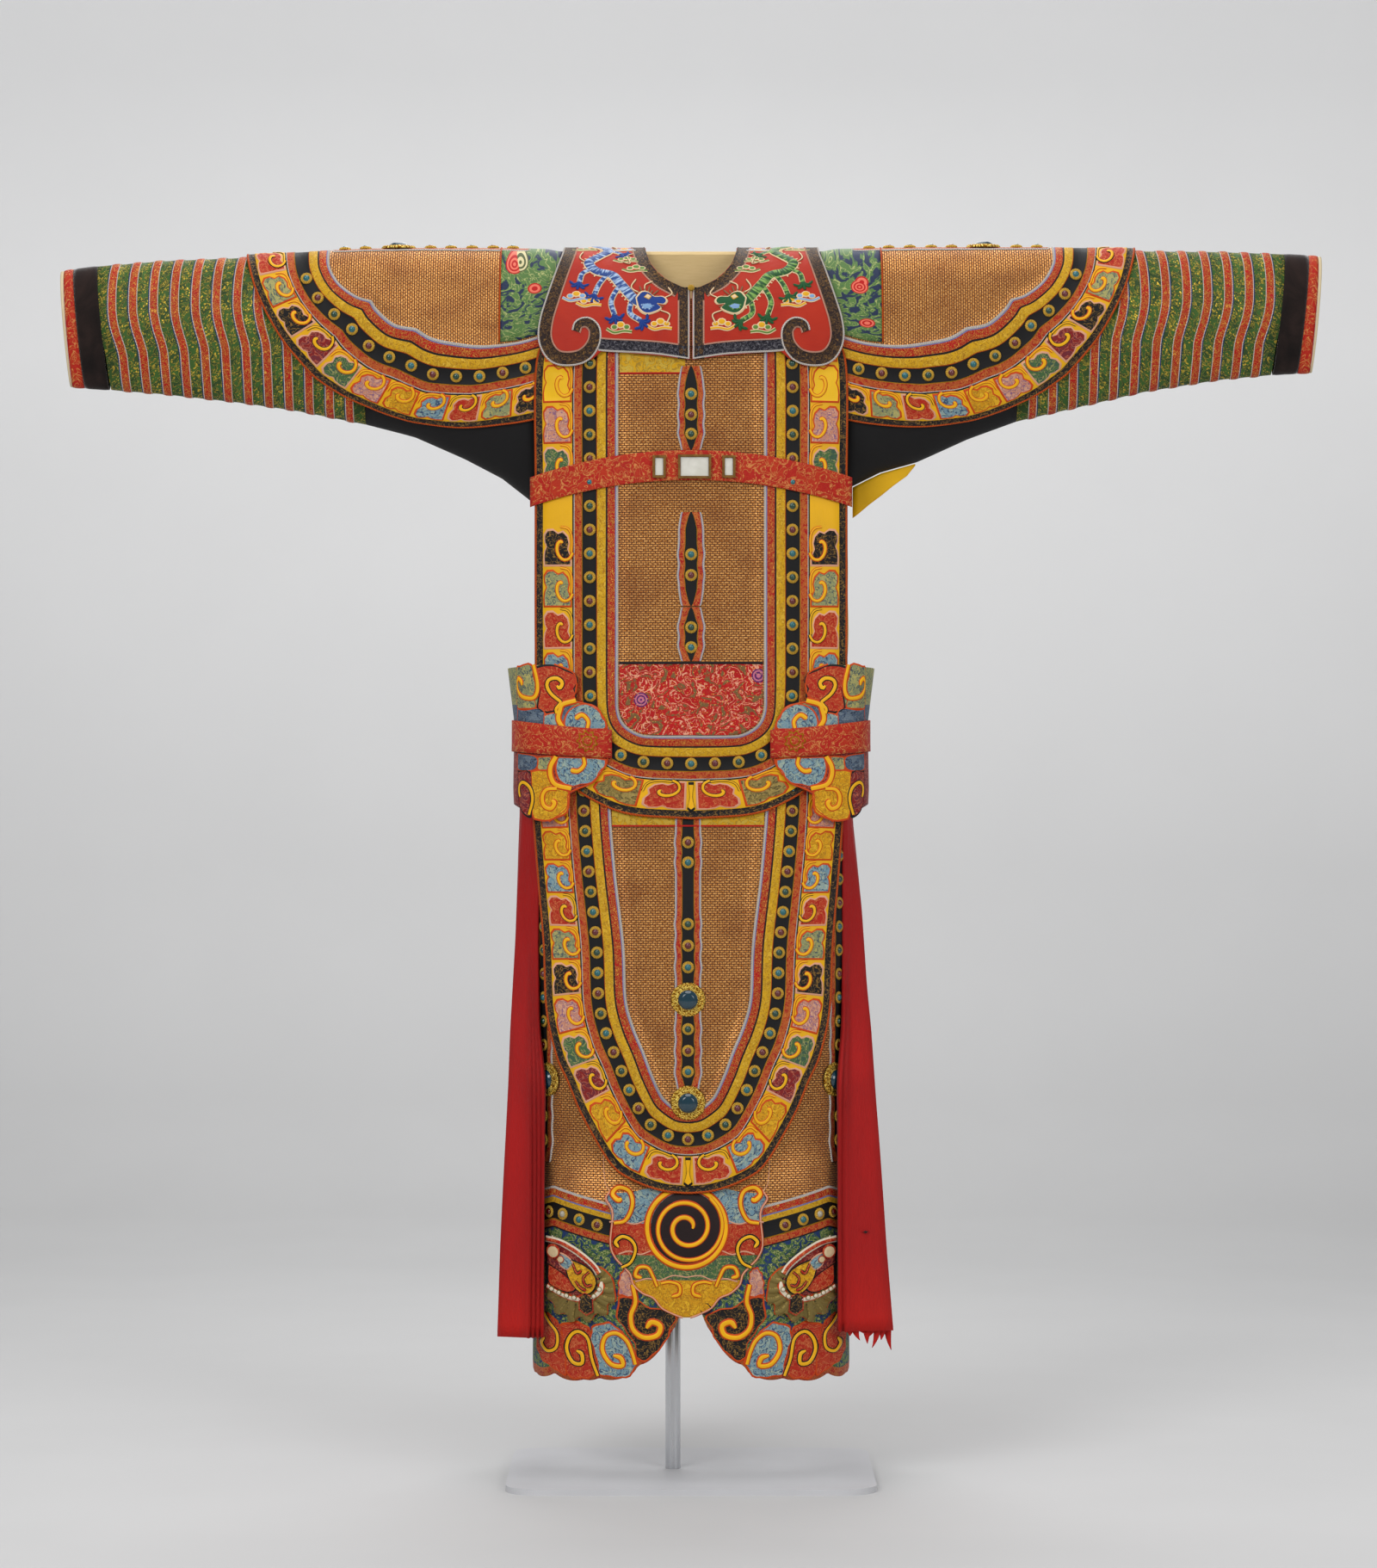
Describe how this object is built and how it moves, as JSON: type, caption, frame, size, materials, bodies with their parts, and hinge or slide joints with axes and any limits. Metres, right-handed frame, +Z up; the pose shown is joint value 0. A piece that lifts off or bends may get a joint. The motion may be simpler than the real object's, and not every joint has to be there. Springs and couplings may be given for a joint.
{
  "type": "theatrical warrior costume on a stand",
  "caption": "Stage armour robe with spread sleeves, bordered panels, shoulder caps, tongue and leg panels, hung on a board and pole stand with a plate base.",
  "frame": {"origin": "middle of the base plate's underside, on the floor", "axes": "+Z up, +X towards the sleeve at the viewer's right when facing the front, -Y towards the viewer of the front"},
  "size_m": [1.6679, 0.34, 1.6332],
  "materials": {
    "paint": "matt grey paint",
    "steel": "bright drawn steel",
    "board": "beige cotton over a padded board",
    "brocade": "couched gold ground with satin and brocade appliques",
    "collar_satin": "red satin with embroidery",
    "red_brocade": "red brocade",
    "red_silk": "crumpled red silk",
    "yellow_silk": "yellow silk",
    "black_satin": "black satin",
    "green_brocade": "green damask with gold flowers",
    "velvet": "black velvet with embroidery",
    "cream_silk": "cream silk",
    "khaki": "stuffed and embroidered cloth",
    "gold": "gilt brass",
    "ivory": "ivory-white plaque",
    "jewel": "teal glass in a gilt filigree rim"
  },
  "bodies": {
    "root": {"stand_base": "paint", "stand_pole": "steel", "stand_arm": "board", "front_body": "brocade", "back_body": "brocade", "tongue_front": "brocade", "tongue_back": "brocade", "pendant_front": "brocade", "collar": "collar_satin", "chest_belt": "red_brocade", "underarm_flap_right": "yellow_silk", "tongue_jewel_upper": "jewel", "tongue_jewel_lower": "jewel", "neck_button": "gold", "plaque_middle": "ivory", "plaque_left": "ivory", "plaque_right": "ivory", "plaque_middle_frame": "gold", "plaque_left_frame": "gold", "plaque_right_frame": "gold", "side_panel_left": "yellow_silk", "upper_sleeve_left": "black_satin", "sleeve_left": "green_brocade", "cuff_band_left": "velvet", "cuff_edge_left": "red_brocade", "cuff_lining_left": "cream_silk", "shoulder_cap_left": "brocade", "waist_guard_left": "brocade", "waist_belt_left": "red_brocade", "leg_left": "brocade", "beast_left": "khaki", "pleats_left": "red_silk", "shoulder_jewel_left": "jewel", "leg_jewel_left": "jewel", "side_panel_right": "yellow_silk", "upper_sleeve_right": "black_satin", "sleeve_right": "green_brocade", "cuff_band_right": "velvet", "cuff_edge_right": "red_brocade", "cuff_lining_right": "cream_silk", "shoulder_cap_right": "brocade", "waist_guard_right": "brocade", "waist_belt_right": "red_brocade", "leg_right": "brocade", "beast_right": "khaki", "pleats_right": "red_silk", "shoulder_jewel_right": "jewel", "leg_jewel_right": "jewel"}
  },
  "joints": []
}
